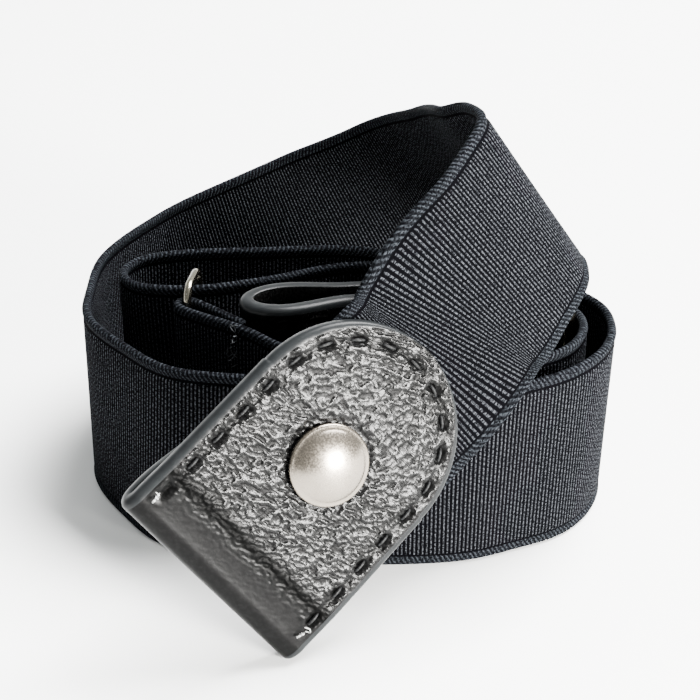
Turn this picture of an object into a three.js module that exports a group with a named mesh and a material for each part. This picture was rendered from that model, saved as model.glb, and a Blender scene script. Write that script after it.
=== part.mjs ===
// Elastic stretch belt with two folded leather snap tabs, in millimetres, +Z up.
// It lies rolled into a loose coil that stands on the edge of its webbing, front towards -Y.
import * as THREE from 'three';

// Webbing
const webbing_width = 35;
const webbing_thickness = 1.5;
const selvage_round = 0.45;

// Coil as it stands: the route's rows are shares of these two and of the webbing's width
const coil_width = 96;
const coil_depth = 100;
const steps_per_row = 5;

// Leather tabs, each one strip folded over on itself
const tab_width = 40;
const tab_taper = 1;
const tab_length = 51.2;
const leather_thickness = 2.5;
const back_panel_length = 44;
const webbing_in_tab_from = 35;
const webbing_below_tab_middle = 2.6;
const tip_start_angle = 8;

// Front tab: where its fold lies, and how the tab is turned
const front_fold_at = { across: -0.226, deep: -0.538, rise: 0.459 };
const front_heading = 34.2;
const front_climb = 35;
const front_lean = 18.5;
const front_fold = { length: 3, front_bulge: -0.5, front_from: 11, back_bulge: -1.3, flat_from: 24 };
const back_panel_inset = 2.2;
const back_inset_from = 4;
const back_inset_to = 20;

// Second tab: it stands on its edge, hung on the ring
const second_heading = 17.5;
const second_bend = -24;
const second_fold = { length: 8, front_bulge: 1.8, front_from: 19, back_bulge: 1.7, flat_from: 19 };
const second_panel_length = 43;
const second_loop_from_fold = 49.6;
const second_tail_length = 12;
const neck_width = webbing_width - 1;
const neck_shoulder = 8;

// Snaps
const snap_from_fold = 26.9;
const cap_radius = 6.85;
const cap_height = 3;
const cap_rim_height = 1.1;
const cap_rim_round = 0.55;
const post_radius = 4;

// Wire slider and wire ring
const slider_wire = 1.4;
const slider_play = 1.6;
const slider_clear_height = webbing_width + 2 * slider_play;
const slider_spacing = 9.6;
const slider_corner = 3;
const slider_front_at = { across: -0.3, deep: 0.032 };
const slider_heading = 82;
const leg_through_slider = 0.68;
const ring_wire = 2.2;
const ring_play = 1;
const ring_clear_height = neck_width + 2 * ring_play;
const ring_spacing = 8;
const ring_corner = 2.5;
const ring_heading = -20;

// Gap between pieces that lie against each other
const clearance = 0.3;

// Mesh fineness
const wire_sides = 10;
const corner_steps = 4;
const lathe_sides = 28;
const tip_step_angle = 9;
const ease_steps = 8;
const fold_step_angle = 15;
const panel_steps = 5;
const loop_step_angle = 22.5;

const floor_rise = 0.5;
const slider_rise = (slider_wire + slider_clear_height / 2) / webbing_width;

// Route of the webbing from the front tab to the back leg of the inner coil.
// across and deep are shares of the coil, rise (of the mid-line) a share of the webbing's width,
// lean in degrees, towards the inside of the coil at the upper edge.
const outer_rows = [
  { name: 'band beyond tab', across: 0.191, deep: -0.231, rise: 1.426, lean: 26.8 },
  { name: 'band over wall', across: 0.265, deep: -0.16, rise: 1.611, lean: 27.3 },
  { name: 'high turn', across: 0.322, deep: -0.052, rise: 1.748, lean: 33.6 },
  { name: 'high turn back', across: 0.307, deep: 0.06, rise: 1.709, lean: 34.1 },
  { name: 'behind high turn', across: 0.274, deep: 0.164, rise: 1.588, lean: 36.5 },
  { name: 'back right', across: 0.223, deep: 0.382, rise: 1.311, lean: 29.4 },
  { name: 'back wall start', across: 0.103, deep: 0.562, rise: 1.003, lean: 15.7 },
  { name: 'back wall middle', across: -0.06, deep: 0.608, rise: 0.78, lean: 5.7 },
  { name: 'back wall end', across: -0.225, deep: 0.575, rise: 0.626, lean: 2.7 },
  { name: 'back left', across: -0.381, deep: 0.484, rise: 0.512, lean: -1 },
  { name: 'left turn back', across: -0.488, deep: 0.303, rise: floor_rise, lean: 1 },
  { name: 'left turn', across: -0.497, deep: 0.16, rise: floor_rise, lean: 0 },
  { name: 'left turn front', across: -0.486, deep: 0.04, rise: floor_rise, lean: 0 },
  { name: 'front left', across: -0.413, deep: -0.075, rise: floor_rise, lean: 2.8 },
  { name: 'front left wall', across: -0.325, deep: -0.166, rise: floor_rise, lean: 5 },
  { name: 'wall to tab', across: -0.169, deep: -0.205, rise: floor_rise, lean: 8 },
  { name: 'wall behind tab', across: -0.03, deep: -0.213, rise: floor_rise, lean: 5 },
  { name: 'lower wall', across: 0.085, deep: -0.227, rise: floor_rise, lean: 1 },
  { name: 'lower wall right', across: 0.215, deep: -0.225, rise: floor_rise, lean: -3 },
  { name: 'under the band', across: 0.31, deep: -0.19, rise: floor_rise, lean: -4 },
  { name: 'right turn front', across: 0.392, deep: -0.145, rise: floor_rise, lean: -3 },
  { name: 'right turn', across: 0.452, deep: -0.072, rise: floor_rise, lean: -3 },
  { name: 'right turn side', across: 0.477, deep: 0.012, rise: floor_rise, lean: -2 },
  { name: 'right turn back', across: 0.468, deep: 0.095, rise: floor_rise, lean: 0 },
  { name: 'under high turn', across: 0.405, deep: 0.165, rise: floor_rise, lean: 0 },
  { name: 'inside high turn', across: 0.315, deep: 0.196, rise: floor_rise, lean: 0 },
  { name: 'back leg start', across: 0.165, deep: 0.253, rise: 0.515, lean: 0 },
  { name: 'back leg', across: 0.02, deep: 0.3, rise: 0.535, lean: 0 },
  { name: 'back leg left', across: -0.175, deep: 0.285, rise: 0.55, lean: 0 },
  { name: 'before hairpin', across: -0.345, deep: 0.263, rise: 0.56, lean: 0 },
  { name: 'hairpin back', across: -0.41, deep: 0.232, rise: 0.565, lean: 0 },
  { name: 'hairpin', across: -0.436, deep: 0.175, rise: 0.57, lean: 0 },
  { name: 'hairpin front', across: -0.405, deep: 0.118, rise: 0.575, lean: 0 },
];
const inner_rows = [
  { name: 'front leg', across: -0.155, deep: 0.145, rise: 0.57, lean: 0 },
  { name: 'front leg middle', across: -0.01, deep: 0.215, rise: 0.555, lean: 0 },
  { name: 'front leg right', across: 0.16, deep: 0.215, rise: 0.54, lean: 0 },
  { name: 'inner turn back', across: 0.345, deep: 0.14, rise: 0.53, lean: 0 },
];
const ring_turn_row = { name: 'round the ring', across: 0.427, deep: 0.025, rise: 0.525, lean: 0 };
const near_rows = [
  { name: 'inner turn front', across: 0.413, deep: -0.06, rise: 0.525, lean: 0 },
  { name: 'inner turn end', across: 0.36, deep: -0.12, rise: 0.53, lean: 0 },
  { name: 'near leg right', across: 0.2, deep: -0.172, rise: 0.54, lean: 0 },
  { name: 'near leg middle', across: 0.03, deep: -0.165, rise: 0.56, lean: 0 },
  { name: 'near leg', across: -0.125, deep: -0.118, rise: 0.575, lean: 0 },
  { name: 'near leg left', across: -0.175, deep: -0.075, rise: slider_rise, lean: 0 },
  { name: 'hem end', across: -0.205, deep: -0.053, rise: slider_rise, lean: 0 },
];
const hem_turn_angles = [235, 180, 130, 85, 40];

const radians = THREE.MathUtils.degToRad;
const up_axis = new THREE.Vector3(0, 0, 1);

function materials() {
  const finish = (color, roughness, metalness) =>
    new THREE.MeshStandardMaterial({ color, roughness, metalness });
  return {
    webbing: finish('#202225', 0.85, 0),
    leather: finish('#1b1c1e', 0.4, 0),
    nickel: finish('#b9b3aa', 0.3, 1),
    steel: finish('#a9aaac', 0.25, 1),
  };
}

// A row's mid-line point.
function row_point(row) {
  return new THREE.Vector3(
    row.across * coil_width, row.deep * coil_depth, (row.rise ?? 0) * webbing_width);
}

// The frame of a band that runs along t: w goes up across it, n out of its face.
function lean_frame(t, lean) {
  const up = up_axis.clone().addScaledVector(t, -t.z).normalize();
  const side = t.clone().cross(up);
  const w = up.multiplyScalar(Math.cos(radians(lean)));
  w.addScaledVector(side, -Math.sin(radians(lean)));
  return { t, w, n: t.clone().cross(w) };
}

function frame_of_heading(heading, climb, lean) {
  const t = new THREE.Vector3(Math.cos(radians(heading)), Math.sin(radians(heading)), 0);
  t.multiplyScalar(Math.cos(radians(climb)));
  t.z = Math.sin(radians(climb));
  return lean_frame(t, lean);
}

// A closed mesh from rings of points, with flat ends, or closed on itself like a hoop.
function skin(rings, is_hoop) {
  const sides = rings[0].length;
  const triangles = [];
  const last = is_hoop ? rings.length : rings.length - 1;
  for (let i = 0; i < last; i += 1) {
    const next = (i + 1) % rings.length;
    for (let j = 0; j < sides; j += 1) {
      const k = (j + 1) % sides;
      const [a, b] = [i * sides + j, i * sides + k];
      const [c, d] = [next * sides + k, next * sides + j];
      triangles.push(a, b, c, a, c, d);
    }
  }
  if (!is_hoop) {
    const end = (rings.length - 1) * sides;
    for (let j = 1; j < sides - 1; j += 1) {
      triangles.push(0, j + 1, j, end, end + j, end + j + 1);
    }
  }
  const geometry = new THREE.BufferGeometry().setFromPoints(rings.flat());
  geometry.setIndex(triangles);
  geometry.computeVertexNormals();
  return geometry;
}

// A flat band of material: its section has rounded edges, station by station.
function band(stations, thickness, edge_round) {
  const half = thickness / 2;
  const section = (width) => [
    [width, half - edge_round], [width - edge_round, half],
    [edge_round - width, half], [-width, half - edge_round],
    [-width, edge_round - half], [edge_round - width, -half],
    [width - edge_round, -half], [width, edge_round - half],
  ];
  const rings = stations.map(({ point, frame, half_width }) =>
    section(half_width).map(([across, out]) =>
      point.clone().addScaledVector(frame.w, across).addScaledVector(frame.n, out)));
  return skin(rings, false);
}

// Front tab: its own frame, with s along it from the fold, v up across it, d out of its face.
const front_frame = frame_of_heading(front_heading, front_climb, front_lean);
const front_origin = row_point(front_fold_at);

function front_point(s, v, d) {
  const { t, w, n } = front_frame;
  return front_origin.clone().addScaledVector(t, s).addScaledVector(w, v).addScaledVector(n, d);
}

// Slider: its bars in plan, and the webbing's way round and between them.
const slider_front = row_point(slider_front_at);
const slider_direction = new THREE.Vector3(
  Math.cos(radians(slider_heading)), Math.sin(radians(slider_heading)), 0);

function row_from_point(name, point, rise) {
  return { name, across: point.x / coil_width, deep: point.y / coil_depth, rise, lean: 0 };
}

function slider_leg_row() {
  const point = slider_front.clone();
  point.addScaledVector(slider_direction, leg_through_slider * slider_spacing);
  return row_from_point('through the slider', point, slider_rise);
}

function hem_rows() {
  const reach = slider_wire / 2 + clearance + webbing_thickness / 2;
  const turns = hem_turn_angles.map((angle) => {
    const point = slider_front.clone();
    point.x += reach * Math.cos(radians(angle));
    point.y += reach * Math.sin(radians(angle));
    return row_from_point('round the front bar', point, slider_rise);
  });
  const seam = row_point(near_rows.at(-1));
  const before = row_point(near_rows.at(-2));
  const across_seam = seam.clone().sub(before).setZ(0).normalize().cross(up_axis);
  const tail = seam.clone().addScaledVector(across_seam, webbing_thickness + clearance);
  return [...turns, row_from_point('hem tail', tail, slider_rise)];
}

function front_tab_rows() {
  const inside = -(leather_thickness + clearance + webbing_thickness / 2);
  const run = tab_length - webbing_in_tab_from;
  return [0, 0.5, 1].map((share) => {
    const s = webbing_in_tab_from + share * run;
    const point = front_point(s, -webbing_below_tab_middle, inside);
    const row = row_from_point('inside the tab', point, point.z / webbing_width);
    return { ...row, lean: front_lean };
  });
}

function elastic_band() {
  const rows = [
    ...front_tab_rows(), ...outer_rows, slider_leg_row(), ...inner_rows,
    ring_turn_row, ...near_rows, ...hem_rows(),
  ];
  const route = new THREE.CatmullRomCurve3(rows.map(row_point), false, 'centripetal');
  const lean = new THREE.CatmullRomCurve3(
    rows.map((row) => new THREE.Vector3(row.lean, 0, 0)), false, 'catmullrom');
  const count = (rows.length - 1) * steps_per_row;
  const stations = Array.from({ length: count + 1 }, (_, i) => {
    const u = i / count;
    return {
      point: route.getPoint(u),
      frame: lean_frame(route.getTangent(u), lean.getPoint(u).x),
      half_width: webbing_width / 2,
    };
  });
  return band(stations, webbing_thickness, selvage_round);
}

// Places along a round end, from near its tip to where the tab is straight.
function round_end(length) {
  const tip = tab_width / 2 - tab_taper / 2;
  const places = [];
  for (let angle = tip_start_angle; angle < 90; angle += tip_step_angle) {
    places.push(length - tip * (1 - Math.cos(radians(angle))));
  }
  return places;
}

// The strip of a tab in its own plane: from the round end of the front panel to the fold,
// round the fold and back. s runs along the tab, d out of its front face.
function folded_strip(fold, front_length, panel_gap) {
  const half = leather_thickness / 2;
  const front_d = -half;
  const back_d = -(leather_thickness + panel_gap + half);
  const fold_front = front_d + fold.front_bulge;
  const fold_back = back_d - fold.back_bulge;
  const points = round_end(front_length).map((s) => [s, front_d]);
  for (let i = 0; i <= ease_steps; i += 1) {
    const share = THREE.MathUtils.smoothstep(i / ease_steps, 0, 1);
    const s = THREE.MathUtils.lerp(fold.front_from, fold.length, i / ease_steps);
    points.push([s, THREE.MathUtils.lerp(front_d, fold_front, share)]);
  }
  const middle = (fold_front + fold_back) / 2;
  const reach = (fold_front - fold_back) / 2;
  for (let angle = fold_step_angle; angle < 180; angle += fold_step_angle) {
    const along = (fold.length - half) * Math.sin(radians(angle));
    points.push([fold.length - along, middle + reach * Math.cos(radians(angle))]);
  }
  for (let i = 0; i <= ease_steps; i += 1) {
    const share = THREE.MathUtils.smoothstep(i / ease_steps, 0, 1);
    const s = THREE.MathUtils.lerp(fold.length, fold.flat_from, i / ease_steps);
    points.push([s, THREE.MathUtils.lerp(fold_back, back_d, share)]);
  }
  return { points, back_d };
}

// Half width of a tab at s from the fold, with its taper, and its round end before `round_to`.
function tab_half_width(s, round_to) {
  const straight = tab_width / 2 - (tab_taper / 2) * Math.min(s / tab_length, 1);
  const radius = tab_width / 2 - tab_taper / 2;
  const from_centre = s - (round_to - radius);
  if (from_centre <= 0) return straight;
  return Math.min(straight, Math.sqrt(Math.max(radius * radius - from_centre * from_centre, 1)));
}

// Puts the strip's points into space; `place` gives a point and its turned frame.
function strip_solid(strip_points, place, half_width_of) {
  const stations = strip_points.map(([s, d], i) => {
    const before = strip_points[Math.max(i - 1, 0)];
    const after = strip_points[Math.min(i + 1, strip_points.length - 1)];
    const { point, t, w, n } = place(s, d);
    const run = t.clone().multiplyScalar(after[0] - before[0]);
    run.addScaledVector(n, after[1] - before[1]).normalize();
    return { point, frame: { t: run, w, n: run.clone().cross(w) }, half_width: half_width_of(i, s) };
  });
  return band(stations, leather_thickness, leather_thickness / 4);
}

const front_gap = webbing_thickness + 2 * clearance;
const second_gap = leather_thickness + 2 * clearance;

function front_place(s, d) {
  return { point: front_point(s, 0, d), ...front_frame };
}

function front_tab() {
  const { points, back_d } = folded_strip(front_fold, tab_length, front_gap);
  const fold_index = points.findIndex(([s]) => s <= front_fold.length);
  points.push(...round_end(back_panel_length).reverse().map((s) => [s, back_d]));
  return strip_solid(points, front_place, (i, s) => {
    if (i < fold_index) return tab_half_width(s, tab_length);
    const inset = THREE.MathUtils.smoothstep(s, back_inset_from, back_inset_to);
    const straight = tab_half_width(s, tab_length) - back_panel_inset * inset;
    return Math.min(straight, tab_half_width(s, back_panel_length));
  });
}

// Ring: its outer bar lies inside the webbing's turn, its inner bar in the second tab's loop.
const ring_direction = new THREE.Vector3(
  Math.cos(radians(ring_heading)), Math.sin(radians(ring_heading)), 0);
const ring_outer_bar = row_point(ring_turn_row).setZ(0);
ring_outer_bar.x -= webbing_thickness / 2 + clearance + ring_wire / 2;
const ring_inner_bar = ring_outer_bar.clone().addScaledVector(ring_direction, -ring_spacing);

// Second tab: the strip bends gently along its length, and its place follows the ring's bar.
const second_frame = frame_of_heading(second_heading, 0, 0);
const loop_reach = ring_wire / 2 + clearance + leather_thickness / 2;
const second_back_d = -(leather_thickness * 1.5 + second_gap);
const loop_centre = { s: second_loop_from_fold, d: second_back_d + loop_reach };

function bent_place(s, d) {
  const turn = radians(second_bend) * (s / tab_length);
  const half_turn = turn / 2;
  const chord = half_turn === 0 ? s : s * Math.sin(half_turn) / half_turn;
  const { t, w, n } = second_frame;
  const along = (angle) =>
    t.clone().multiplyScalar(Math.cos(angle)).addScaledVector(n, -Math.sin(angle));
  const direction = along(turn);
  const out = direction.clone().cross(w);
  const point = along(half_turn).multiplyScalar(chord).addScaledVector(out, d);
  return { point, t: direction, w, n: out };
}

const second_origin = ring_inner_bar.clone().sub(bent_place(loop_centre.s, loop_centre.d).point);
second_origin.z = tab_width / 2;

function second_place(s, d) {
  const placed = bent_place(s, d);
  placed.point.add(second_origin);
  return placed;
}

function second_tab() {
  const { points, back_d } = folded_strip(second_fold, second_panel_length, second_gap);
  const fold_index = points.findIndex(([s]) => s <= second_fold.flat_from);
  const neck_from = loop_centre.s - neck_shoulder;
  for (let i = 1; i <= panel_steps; i += 1) {
    points.push([THREE.MathUtils.lerp(second_fold.flat_from, neck_from, i / panel_steps), back_d]);
  }
  const neck_index = points.length;
  for (let angle = -90; angle <= 90; angle += loop_step_angle) {
    const s = loop_centre.s + loop_reach * Math.cos(radians(angle));
    points.push([s, loop_centre.d + loop_reach * Math.sin(radians(angle))]);
  }
  const tail_d = back_d + leather_thickness + clearance;
  const loop_d = loop_centre.d + loop_reach;
  for (let i = 1; i <= panel_steps; i += 1) {
    const share = THREE.MathUtils.smoothstep(i / 3, 0, 1);
    const s = loop_centre.s - (i / panel_steps) * second_tail_length;
    points.push([s, THREE.MathUtils.lerp(loop_d, tail_d, share)]);
  }
  return strip_solid(points, second_place, (i, s) => {
    if (i >= neck_index) return neck_width / 2;
    return tab_half_width(s, i < fold_index ? second_panel_length : tab_length * 2);
  });
}

// Turns a lathed piece, made along +Y from a flat base, to stand out of a tab's face.
function seat_on_face(mesh, placed) {
  const { point, n, w } = placed;
  mesh.position.copy(point);
  mesh.setRotationFromMatrix(new THREE.Matrix4().makeBasis(n.clone().cross(w), n, w));
  return mesh;
}

function cap_geometry() {
  const profile = [
    new THREE.Vector2(0, 0),
    new THREE.Vector2(cap_radius - cap_rim_round, 0),
    new THREE.Vector2(cap_radius, cap_rim_round),
    new THREE.Vector2(cap_radius - cap_rim_round / 4, cap_rim_height),
  ];
  const dome = cap_height - cap_rim_height;
  const dome_radius = cap_radius - cap_rim_round;
  for (let angle = 0; angle < 90; angle += 15) {
    profile.push(new THREE.Vector2(
      dome_radius * Math.cos(radians(angle)),
      cap_rim_height + cap_rim_round / 2 + (dome - cap_rim_round / 2) * Math.sin(radians(angle))));
  }
  profile.push(new THREE.Vector2(0, cap_height));
  return new THREE.LatheGeometry(profile, lathe_sides);
}

function post_geometry(gap) {
  const height = gap - 2 * clearance;
  return new THREE.CylinderGeometry(post_radius, post_radius, height, lathe_sides);
}

// A rectangular wire frame that stands on the floor, its width along local X from the first bar.
function wire_frame(spacing, clear_height, wire, corner) {
  const radius = wire / 2;
  const low = radius;
  const high = clear_height + wire * 1.5;
  const corners = [
    [spacing - corner, high - corner], [corner, high - corner],
    [corner, low + corner], [spacing - corner, low + corner],
  ];
  const rings = corners.flatMap(([x, z], quarter) =>
    Array.from({ length: corner_steps + 1 }, (_, step) => {
      const angle = (quarter + step / corner_steps) * Math.PI / 2;
      const out = new THREE.Vector3(Math.cos(angle), 0, Math.sin(angle));
      const centre = new THREE.Vector3(x, 0, z).addScaledVector(out, corner);
      return Array.from({ length: wire_sides }, (_, side) => {
        const turn = (side / wire_sides) * 2 * Math.PI;
        const point = centre.clone().addScaledVector(out, radius * Math.cos(turn));
        point.y += radius * Math.sin(turn);
        return point;
      });
    }));
  return skin(rings, true);
}

function named(name, geometry, material) {
  const mesh = new THREE.Mesh(geometry, material);
  mesh.name = name;
  return mesh;
}

function stand_wire(mesh, at, heading) {
  mesh.position.set(at.x, at.y, 0);
  mesh.rotation.z = radians(heading);
  return mesh;
}

function build_belt() {
  const { webbing, leather, nickel, steel } = materials();
  const front_post_d = -(leather_thickness + front_gap / 2);
  const second_post_d = -(leather_thickness + second_gap / 2);
  const group = new THREE.Group();
  group.add(
    named('elastic_band', elastic_band(), webbing),
    named('front_tab', front_tab(), leather),
    seat_on_face(
      named('front_snap_cap', cap_geometry(), nickel), front_place(snap_from_fold, clearance)),
    seat_on_face(
      named('front_snap_post', post_geometry(front_gap), steel),
      front_place(snap_from_fold, front_post_d)),
    named('second_tab', second_tab(), leather),
    seat_on_face(
      named('second_snap_cap', cap_geometry(), nickel), second_place(snap_from_fold, clearance)),
    seat_on_face(
      named('second_snap_post', post_geometry(second_gap), steel),
      second_place(snap_from_fold, second_post_d)),
    stand_wire(
      named('slider', wire_frame(slider_spacing, slider_clear_height, slider_wire, slider_corner),
        steel), slider_front, slider_heading),
    stand_wire(
      named('ring', wire_frame(ring_spacing, ring_clear_height, ring_wire, ring_corner), steel),
      ring_inner_bar, ring_heading),
  );
  return group;
}

// The belt's origin is the middle of the bottom of its box.
const belt = build_belt();
const box = new THREE.Box3().setFromObject(belt, true);
const middle = box.getCenter(new THREE.Vector3());
belt.position.set(-middle.x, -middle.y, -box.min.z);

export default belt;
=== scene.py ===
"""Elastic stretch belt, rolled into a loose coil that stands on the edge of its webbing.

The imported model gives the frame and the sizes. This script builds the visible surfaces around
it: ribbed elastic webbing, two folded leather snap tabs, nickel caps and bent steel wire.
Lengths are millimetres while a shape is worked out, and metres once it is a mesh.
"""

import logging
import math
from dataclasses import dataclass, field

import bmesh
import bpy
import numpy as np
from mathutils import Matrix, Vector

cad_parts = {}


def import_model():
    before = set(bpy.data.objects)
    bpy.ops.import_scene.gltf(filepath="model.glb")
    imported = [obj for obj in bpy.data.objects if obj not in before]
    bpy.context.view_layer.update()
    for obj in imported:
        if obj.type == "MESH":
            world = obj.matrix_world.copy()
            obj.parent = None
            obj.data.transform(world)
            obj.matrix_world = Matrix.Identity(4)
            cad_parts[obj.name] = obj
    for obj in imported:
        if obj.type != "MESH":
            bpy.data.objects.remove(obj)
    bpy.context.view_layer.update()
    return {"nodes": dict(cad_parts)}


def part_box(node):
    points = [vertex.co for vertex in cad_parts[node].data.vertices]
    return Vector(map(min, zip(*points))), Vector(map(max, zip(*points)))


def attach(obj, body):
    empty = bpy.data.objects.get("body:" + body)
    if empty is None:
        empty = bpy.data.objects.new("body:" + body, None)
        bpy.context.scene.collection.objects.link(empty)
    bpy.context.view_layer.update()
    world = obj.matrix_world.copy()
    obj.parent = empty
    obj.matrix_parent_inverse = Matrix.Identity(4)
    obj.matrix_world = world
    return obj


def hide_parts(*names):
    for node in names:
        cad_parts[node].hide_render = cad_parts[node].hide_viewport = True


log = logging.getLogger("stretch_belt")

MM = 0.001
UP = np.array([0.0, 0.0, 1.0])
BODY = "root"


def linear(hex_colour: str) -> tuple[float, float, float, float]:
    """Turn an sRGB hex colour to linear light.

    Args:
        hex_colour: colour such as "#1b1c1e".

    Returns:
        Red, green, blue and alpha in linear light.
    """
    channels = [int(hex_colour[i : i + 2], 16) / 255 for i in (1, 3, 5)]
    light = [c / 12.92 if c <= 0.04045 else ((c + 0.055) / 1.055) ** 2.4 for c in channels]
    return (*light, 1.0)


def smooth_step(x: np.ndarray) -> np.ndarray:
    """Ease from 0 to 1: 3x^2 - 2x^3 of x held between 0 and 1."""
    x = np.clip(x, 0.0, 1.0)
    return x * x * (3 - 2 * x)


def lattice_noise(x: np.ndarray, y: np.ndarray, seed: int) -> np.ndarray:
    """Smooth random relief: random heights on a square lattice, eased between neighbours.

    Args:
        x: places in lattice cells.
        y: places in lattice cells, in the same shape.
        seed: seed of the random heights.

    Returns:
        Heights between 0 and 1.
    """
    size = 257
    heights = np.random.default_rng(seed).random((size, size))
    column, row = np.floor(x).astype(int), np.floor(y).astype(int)
    right, up = smooth_step(x - column), smooth_step(y - row)
    column, row = column % size, row % size
    beside, above = (column + 1) % size, (row + 1) % size
    low = heights[row, column] * (1 - right) + heights[row, beside] * right
    high = heights[above, column] * (1 - right) + heights[above, beside] * right
    return low * (1 - up) + high * up


def run_along(line: np.ndarray) -> np.ndarray:
    """Distance along a line of points, from its first point to each of them."""
    return np.concatenate([[0], np.cumsum(np.linalg.norm(np.diff(line, axis=0), axis=1))])


def unit(vectors: np.ndarray) -> np.ndarray:
    """Scale each vector along the last axis to length one."""
    return vectors / np.linalg.norm(vectors, axis=-1, keepdims=True)


def add_node(tree: bpy.types.NodeTree, kind: str, *values, out: int | str = 0, **settings):
    """Add one shader node with its settings, values and links.

    Args:
        tree: node tree of the material.
        kind: node type after "ShaderNode", such as "Math".
        values: values or sockets of the inputs in order; None leaves one as it is, and a
            dictionary gives some by name or number instead.
        out: output to give back.
        settings: attributes to set on the node.

    Returns:
        The chosen output socket.
    """
    node = tree.nodes.new("ShaderNode" + kind)
    for name, value in settings.items():
        setattr(node, name, value)
    named = values[0] if values and isinstance(values[0], dict) else dict(enumerate(values))
    for key, value in named.items():
        if isinstance(value, bpy.types.NodeSocket):
            tree.links.new(value, node.inputs[key])
        elif value is not None:
            node.inputs[key].default_value = value
    return node.outputs[out]


def new_material(name: str) -> tuple[bpy.types.Material, bpy.types.NodeTree, bpy.types.Node]:
    """Make an empty node material.

    Args:
        name: name of the material.

    Returns:
        The material, its tree and its Principled shader.
    """
    material = bpy.data.materials.new(name)
    material.use_nodes = True
    tree = material.node_tree
    return material, tree, tree.nodes["Principled BSDF"]


def dress(tree: bpy.types.NodeTree, shader: bpy.types.Node, links: dict, values: dict) -> None:
    """Link sockets to the shader's inputs and set its plain values.

    Args:
        tree: node tree of the material.
        shader: its Principled shader.
        links: input name to the socket that feeds it.
        values: input name to a plain value.
    """
    for name, socket in links.items():
        tree.links.new(socket, shader.inputs[name])
    for name, value in values.items():
        shader.inputs[name].default_value = value


@dataclass(frozen=True)
class WebbingFinish:
    """Woven polyester elastic, black: each cross rib is a row of short bright thread floats.

    The floats' and the beads' lighter tones are painted highlights on the black yarn, and the
    near-black gaps between them are partly painted shade. The floats are drawn a little longer
    than they are, so that they show in the render.
    """

    # Painted light and shade: float and bead tones are painted highlights, the gap colour painted shade.
    gap: str = "#030304"
    painted_float_highlight: str = "#3c3e42"
    bead: str = "#2c2f33"
    roughness: float = 0.6
    rib_pitch_mm: float = 0.714
    float_length_mm: float = 0.95
    float_shift: float = 0.37
    bead_from_mm: float = 15.75
    groove_from_mm: float = 15.3
    thread_height_mm: float = 0.10

    def material(self) -> bpy.types.Material:
        """Build the webbing's material from its own map, in millimetres along and across.

        Returns:
            The material.
        """
        material, tree, shader = new_material("black_elastic_webbing")
        place = add_node(tree, "UVMap", uv_map="weave")
        split = add_node(tree, "SeparateXYZ", place, out=0)
        along, across = split, split.node.outputs[1]
        rib = add_node(tree, "Math", along, 1 / self.rib_pitch_mm, operation="MULTIPLY")
        whole = add_node(tree, "Math", rib, operation="FLOOR")
        jump = add_node(tree, "TexWhiteNoise", {"W": whole}, noise_dimensions="1D")
        jump = add_node(tree, "Math", jump, 0.3, operation="MULTIPLY")
        wander = add_node(tree, "TexNoise", {"Vector": place, "Scale": 1.1, "Detail": 2.0})
        loose = add_node(tree, "Math", wander, 0.9, jump, operation="MULTIPLY_ADD")
        start = add_node(tree, "Math", whole, self.float_shift, loose, operation="MULTIPLY_ADD")
        turns = add_node(
            tree, "Math", across, 1 / self.float_length_mm, start, operation="MULTIPLY_ADD"
        )
        angle = add_node(tree, "Math", turns, 2 * math.pi, operation="MULTIPLY")
        wave = add_node(tree, "Math", angle, operation="SINE")
        floats = add_node(tree, "MapRange", wave, -0.9, -0.1, 0.25, 1.0)
        angle = add_node(tree, "Math", rib, 2 * math.pi, operation="MULTIPLY")
        rib_wave = add_node(tree, "Math", angle, operation="COSINE")
        ridge = add_node(tree, "MapRange", rib_wave, 0.05, -0.75, 0.0, 1.0)
        fibre = add_node(tree, "TexNoise", {"Vector": place, "Scale": 3.4, "Detail": 4.0})
        fleck = add_node(tree, "MapRange", fibre, 0.4, 0.66, 0.0, 1.5)
        # lit: painted highlight on the floats along the rib crests.
        lit = add_node(tree, "Math", floats, ridge, operation="MULTIPLY")
        lit = add_node(tree, "Math", lit, fleck, operation="MULTIPLY")
        side = add_node(tree, "Math", across, operation="ABSOLUTE")
        edge = add_node(tree, "Math", side, self.bead_from_mm, operation="GREATER_THAN")
        plain = add_node(tree, "Math", side, self.groove_from_mm, operation="LESS_THAN")
        lit = add_node(tree, "Math", lit, plain, operation="MULTIPLY")
        slant = add_node(tree, "Math", along, 1.6, across, operation="MULTIPLY_ADD")
        angle = add_node(tree, "Math", slant, 4.6, operation="MULTIPLY")
        twist = add_node(tree, "Math", angle, operation="SINE")
        hatch = add_node(tree, "MapRange", twist, -0.5, 0.9, 0.1, 0.9)
        # bead_lit: painted highlight on the bead's twisted strands.
        bead_lit = add_node(tree, "Math", hatch, fleck, operation="MULTIPLY")
        tones = {0: lit, 6: linear(self.gap), 7: linear(self.painted_float_highlight)}
        flat = add_node(tree, "Mix", tones, out=2, data_type="RGBA")
        tones = {0: bead_lit, 6: linear(self.gap), 7: linear(self.bead)}
        corded = add_node(tree, "Mix", tones, out=2, data_type="RGBA")
        colour = add_node(tree, "Mix", {0: edge, 6: flat, 7: corded}, out=2, data_type="RGBA")
        height = add_node(tree, "Mix", {0: edge, 2: lit, 3: bead_lit}, data_type="FLOAT")
        bump = add_node(
            tree, "Bump", {"Distance": self.thread_height_mm * MM, "Height": height}
        )
        links = {"Base Color": colour, "Normal": bump}
        dress(tree, shader, links, {"Roughness": self.roughness, "Specular IOR Level": 0.002})
        return material


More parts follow.
